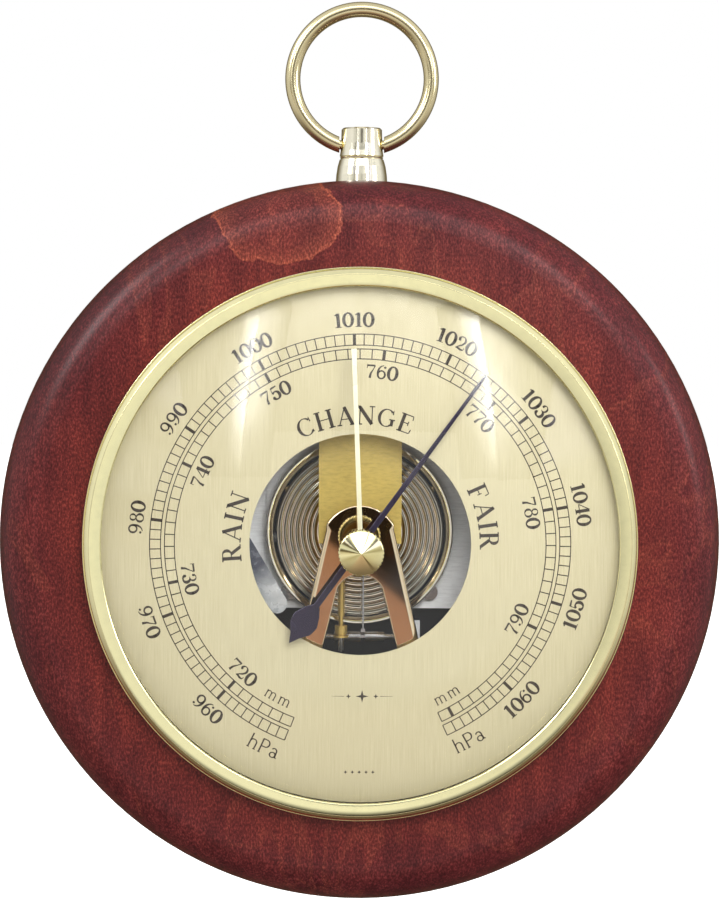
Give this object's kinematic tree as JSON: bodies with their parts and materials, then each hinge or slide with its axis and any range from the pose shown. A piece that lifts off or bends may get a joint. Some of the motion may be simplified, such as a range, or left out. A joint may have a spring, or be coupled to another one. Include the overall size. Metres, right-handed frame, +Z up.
{
  "type": "ship barometer",
  "caption": "Round wall-hung aneroid barometer: stained wooden ring, brass bezel, domed glass, open dial showing its movement, setting hand with knob, and a hanging ring.",
  "frame": {"origin": "centre of the back face, in the plane of the wall, on the dial's axis", "axes": "+Z up; +Y into the wall, so the dial faces -Y; +X to the right of someone facing the dial"},
  "size_m": [0.17, 0.0539, 0.2125],
  "materials": {
    "stained_beech": "satin lacquer over a mahogany stain",
    "fibreboard": "dark hardboard",
    "polished_brass": "polished",
    "satin_brass": "satin",
    "glass": "clear domed glass",
    "gold_dial": "champagne, finely brushed",
    "rubber_seal": "matt",
    "black_case": "satin dark lacquer",
    "zinc_plate": "zinc plated",
    "capsule_metal": "bright nickel silver",
    "yellow_passivate": "yellow passivated zinc",
    "bridge_brass": "bright pressed brass",
    "steel": "bright",
    "blued_steel": "dark blue-black",
    "pale_gold": "satin gilt",
    "dial_ink": "dark brown printed scale"
  },
  "bodies": {
    "case": {"wood_ring": "stained_beech", "back_cover": "fibreboard", "cover_screws": "steel", "can_clamps": "zinc_plate", "clamp_screws": "steel", "case_can": "black_case", "bezel": "polished_brass", "glass_seal": "rubber_seal", "glass_dome": "glass", "glass_bush": "polished_brass", "dial_plate": "gold_dial", "dial_pillars": "bridge_brass", "pillar_screws": "steel", "base_plate": "zinc_plate", "base_feet": "zinc_plate", "base_screws": "steel", "capsule_front": "capsule_metal", "capsule_rear": "capsule_metal", "capsule_rim": "capsule_metal", "capsule_stud": "capsule_metal", "capsule_nut": "steel", "spring_foot": "yellow_passivate", "spring_clamp": "yellow_passivate", "spring_screws": "steel", "bridge": "bridge_brass", "bridge_pillars": "bridge_brass", "bridge_screws": "steel", "bridge_bush": "bridge_brass", "arbor_cock": "bridge_brass", "hairspring": "steel", "rocker_brackets": "zinc_plate", "capsule_tongue": "zinc_plate", "regulator_bush": "bridge_brass", "hanger_ferrule": "satin_brass", "hanger_head": "satin_brass", "hanger_stud": "steel", "hanger_insert": "bridge_brass"},
    "spring_arm": {"main_spring": "yellow_passivate", "capsule_post": "bridge_brass", "link_rod": "bridge_brass", "link_bush": "bridge_brass", "link_pin": "steel"},
    "rocker": {"rocker_shaft": "steel", "rocker_arm": "steel"},
    "chain": {"chain": "steel"},
    "pointer": {"pointer": "blued_steel", "pointer_hub": "bridge_brass", "arbor": "steel", "chain_drum": "bridge_brass"},
    "set_hand": {"set_hand": "pale_gold", "friction_washer": "steel", "knob_spindle": "polished_brass", "knob": "polished_brass"},
    "regulator": {"regulator_screw": "steel"},
    "ring": {"hanging_ring": "satin_brass"}
  },
  "joints": [
    {"name": "pointer_spin", "type": "hinge", "parent": "case", "child": "pointer", "pos_m": [0, -0.03, 0], "axis": [0, 1, 0], "range_deg": [-200, 122]},
    {"name": "chain_slide", "type": "slide", "parent": "case", "child": "chain", "axis": [0, 0, 1], "range_m": [-0.0018, 0.0029]},
    {"name": "rocker_turn", "type": "hinge", "parent": "case", "child": "rocker", "pos_m": [0, -0.0145, -0.0234], "axis": [1, 0, 0], "range_deg": [-17, 11]},
    {"name": "spring_flex", "type": "hinge", "parent": "case", "child": "spring_arm", "pos_m": [0, -0.0101, 0.038], "axis": [1, 0, 0], "range_deg": [-0.6, 0.4]},
    {"name": "set_hand_turn", "type": "hinge", "parent": "case", "child": "set_hand", "pos_m": [0, -0.045, 0], "axis": [0, 1, 0], "continuous": true},
    {"name": "regulator_turn", "type": "hinge", "parent": "case", "child": "regulator", "pos_m": [0, -0.005, 0.04], "axis": [0, 1, 0], "continuous": true},
    {"name": "ring_swing", "type": "hinge", "parent": "case", "child": "ring", "pos_m": [0, -0.014, 0.09378], "axis": [1, 0, 0], "range_deg": [-100, 100]}
  ],
  "couplings": [
    {"joint": "chain_slide", "follows": "pointer_spin", "m_per_rad": -0.0008},
    {"joint": "rocker_turn", "follows": "pointer_spin", "ratio": 0.08},
    {"joint": "spring_flex", "follows": "pointer_spin", "ratio": 0.00264}
  ]
}
